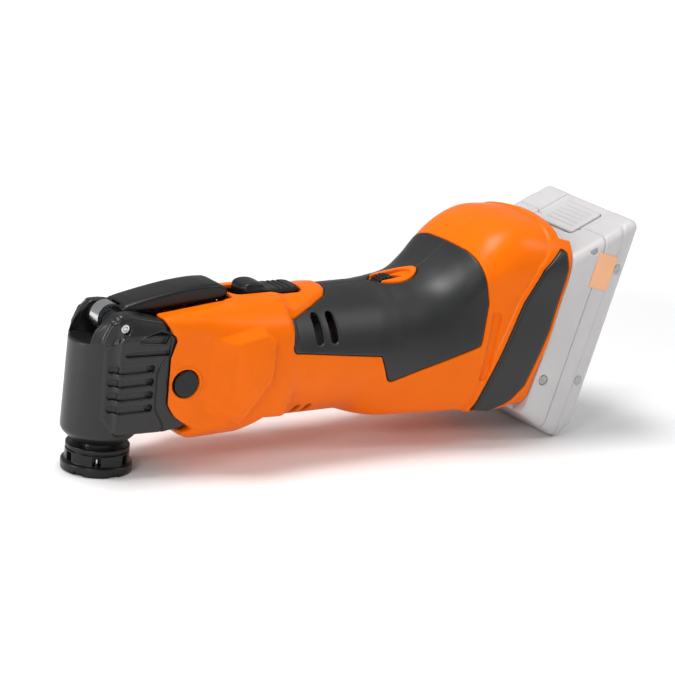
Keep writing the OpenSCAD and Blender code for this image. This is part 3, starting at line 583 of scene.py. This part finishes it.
def pack_shell(x, y, z):
    w, u = pack_axes(x, z)
    ay = np.abs(y)
    d = pack_outer(w, y, u)
    room = most(0.2, polygon(w, u, [(-21, 8.4), (-3, 2.8), (2, 2.8), (4.2, 8), (4.2, 108.5),
                                    (-21, 108.5 - 25.2 * math.tan(SLOPE))]), ay - 36.5)
    d = np.maximum(d, -room)
    channel = np.minimum(box2(w, y, -42, 0, 18.4, 15.4), box2(w, y, -26.3, 0, 2.7, 19.4))
    d = np.maximum(d, -np.maximum(channel, u - 75))
    a, n = slope_axes(w, u)
    d = smax(d, -most(0.3, box2(a, y, 0, 0, 10.4, 15.4, 2.2), -n - 12, w - 3.8), 0.5)
    for sw, su in PACK_SCREWS:
        d = smax(d, -np.maximum(np.hypot(w - sw, u - su) - 2.7, 37.8 - ay), 0.5)
    return d


def pack_front(x, y, z):
    w, u = pack_axes(x, z)
    return smax(pack_shell(x, y, z), w - SPLIT_W + 0.12, 0.5)


def pack_rear(x, y, z):
    w, u = pack_axes(x, z)
    return smax(pack_shell(x, y, z), SPLIT_W + 0.12 - w, 0.5)


def pack_button(x, y, z):
    w, u = pack_axes(x, z)
    a, n = slope_axes(w, u)
    d = most(1.0, box2(a, y, 0, 0, 10.0, 15.0, 2.0), n + 0.2, -2.6 - n)
    for g in (-6, -3, 0, 3, 6):
        d = smax(d, -most(0.2, np.abs(a - g) - 0.5, np.abs(y) - 11, -0.7 - n), 0.4)
    return d


def pack_screw(x, y, z):
    w, u = pack_axes(x, z)
    ay = np.abs(y)
    d = np.full(x.shape, 99.0, np.float32)
    for sw, su in PACK_SCREWS:
        r = np.hypot(w - sw, u - su)
        top = smax(most(0.4, r - 2.3, ay - 38.5, 37.2 - ay), -np.maximum(r - 1.1, 38.0 - ay), 0.2)
        d = np.minimum(d, top)
    return smax(d, pack_outer(w, y, u) + 0.1, 0.3)


def housing_screw(x, y, z):
    outer = body(x, y, z)
    d = np.full(x.shape, 99.0, np.float32)
    for sx, sz in SCREWS:
        r = np.hypot(x - sx, z - sz)
        top = most(0.4, r - 2.2, outer + 0.9, -(outer + 3.0), -y)
        d = np.minimum(d, np.minimum(top, most(0.2, r - 1.6, outer + 1.4)))
    return d


# ---- pieces ----
solid("shell_housing", housing, (10, -42, 8), (252, 42, 114), COARSE, "tool_body",
      ["housing_left", "housing_right"], ORANGE)
solid("shell_grip", grip, (82, -40, 30), (202, 40, 108), COARSE, "tool_body",
      ["grip_left", "grip_right"], RUBBER)
solid("shell_receiver", receiver, (200, -32, 8), (246, 32, 104), FINE, "tool_body", ["battery_receiver"],
      BLACK)
solid("shell_bumpers", bumper, (184, -42, 15), (250, 42, 104), COARSE, "tool_body",
      ["bumper_left", "bumper_right"], RUBBER)
solid("shell_head", head, (-20, -24, 13), (46, 24, 83), FINE, "tool_body", ["head_cover"], HEAD)
solid("shell_bezel", bezel, (145, -10, 66), (177, 10, 85), FINE, "tool_body", ["dial_bezel"],
      ORANGE)
solid("shell_dial", dial, (146, -5, 63), (167, 5, 84), FINE, "dial", ["speed_dial"], BLACK)
solid("shell_caps", cap, (23, -27, 37), (40, 27, 55), FINE, "tool_body",
      ["damper_cap_left", "damper_cap_right"], BLACK)
solid("shell_pivot_pin", pin, (-4, -20, 69), (4, 20, 78), FINE * 0.8, "tool_body", ["lever_pivot_pin"],
      STEEL)
solid("shell_lever", lever, (-10, -12, 66), (64, 12, 92), FINE, "lever", ["release_lever"],
      BLACK)
solid("shell_slider", slider, (64, -10, 76), (106, 10, 89), FINE, "switch", ["switch_slider"],
      BLACK)
solid("shell_holder", holder, (-19, -19, -1), (19, 19, 15), FINE * 0.8, "spindle", ["tool_holder"],
      HOLDER)
solid("shell_pack_front", pack_front, (208, -41, -2), (270, 41, 116), COARSE, "battery",
      ["pack_case_front"], PACK)
solid("shell_pack_rear", pack_rear, (228, -41, -3), (286, 41, 118), COARSE, "battery",
      ["pack_case_rear"], PACK)
solid("shell_pack_button", pack_button, (248, -17, 88), (282, 17, 120), FINE, "battery_button",
      ["pack_button"], PACK)
solid("shell_pack_screws", pack_screw, (220, -40, 20), (286, 40, 106), FINE, "battery", ["pack_screws"],
      SCREW)
solid("shell_housing_screws", housing_screw, (70, -38, 24), (212, 38, 100), FINE, "tool_body",
      ["housing_screws"], STEEL)

# ---- floor, light and camera ----
floor = bpy.data.objects.new("floor", bpy.data.meshes.new("floor"))
bpy.context.scene.collection.objects.link(floor)
corners = [(-6, -6, 0), (6, -6, 0), (6, 6, 0), (-6, 6, 0)]
floor.data.from_pydata(corners, [], [(0, 1, 2, 3)])
floor.location = (MIDDLE.x, 0, 0)
glowing_floor = material("pale_floor", (0.90, 0.90, 0.90), rough=0.7, bump=0.0, spread=0.01, patch=3)
# painted light: the floor glows more the farther it lies from the tool, so it brightens with distance
nodes, links = glowing_floor.node_tree.nodes, glowing_floor.node_tree.links
place, reach, painted_glow = (nodes.new("ShaderNode" + kind) for kind in ("TexCoord", "VectorMath", "MapRange"))
reach.operation = "LENGTH"
painted_glow.inputs["From Min"].default_value, painted_glow.inputs["From Max"].default_value = 0.35, 1.1
painted_glow.inputs["To Max"].default_value = 0.7
links.new(place.outputs["Object"], reach.inputs[0])
links.new(reach.outputs["Value"], painted_glow.inputs["Value"])
# painted glow: emission strength rises from 0 to 0.7 between 0.35 and 1.1 m from the floor's middle
links.new(painted_glow.outputs["Result"], nodes["Principled BSDF"].inputs["Emission Strength"])
nodes["Principled BSDF"].inputs["Emission Color"].default_value = (1, 1, 1, 1)
floor.data.materials.append(glowing_floor)

bpy.context.scene.view_settings.view_transform = "Standard"
world = bpy.data.worlds.new("studio")
world.use_nodes = True
world.node_tree.nodes["Background"].inputs["Color"].default_value = (1.0, 1.0, 1.0, 1)
# white to the camera, softer as a light
ray, dim = (world.node_tree.nodes.new("ShaderNode" + kind) for kind in ("LightPath", "MapRange"))
dim.inputs["To Min"].default_value, dim.inputs["To Max"].default_value = 0.36, 1.0
world.node_tree.links.new(ray.outputs["Is Camera Ray"], dim.inputs["Value"])
world.node_tree.links.new(dim.outputs["Result"], world.node_tree.nodes["Background"].inputs["Strength"])
bpy.context.scene.world = world


def area(name, place, width, height, watts):
    """A rectangular lamp that looks at the middle of the tool."""
    data = bpy.data.lights.new(name, "AREA")
    data.shape, data.size, data.size_y, data.energy = "RECTANGLE", width, height, watts
    lamp = bpy.data.objects.new(name, data)
    lamp.location = place
    lamp.rotation_euler = (MIDDLE - Vector(place)).to_track_quat("-Z", "Y").to_euler()
    bpy.context.scene.collection.objects.link(lamp)


area("top_softbox", (-0.05, 0.15, 1.3), 0.6, 0.4, 12)
area("front_softbox", (-1.05, -0.8, 0.75), 0.4, 0.3, 5.5)
area("rear_strip", (0.9, -0.5, 0.9), 0.3, 0.5, 3.0)
area("left_strip", (-0.85, 0.25, 0.4), 0.15, 0.7, 3.5)

AZIMUTH, ELEVATION, ROLL = math.radians(-35), math.radians(16.5), math.radians(5.2)
DISTANCE = 1.74
away = Vector((math.sin(AZIMUTH) * math.cos(ELEVATION), -math.cos(AZIMUTH) * math.cos(ELEVATION),
               math.sin(ELEVATION)))
right = Vector((math.cos(AZIMUTH), math.sin(AZIMUTH), 0))
up = away.cross(right)
lean_right = right * math.cos(ROLL) + up * math.sin(ROLL)
lean_up = up * math.cos(ROLL) - right * math.sin(ROLL)
camera = bpy.data.objects.new("camera", bpy.data.cameras.new("camera"))
camera.data.lens = 190
camera.data.sensor_width = 36
camera.data.clip_start, camera.data.clip_end = 0.05, 20
camera.matrix_world = Matrix.Translation(MIDDLE + away * DISTANCE) @ Matrix(
    (lean_right, lean_up, away)).transposed().to_4x4()
bpy.context.scene.collection.objects.link(camera)
bpy.context.scene.camera = camera
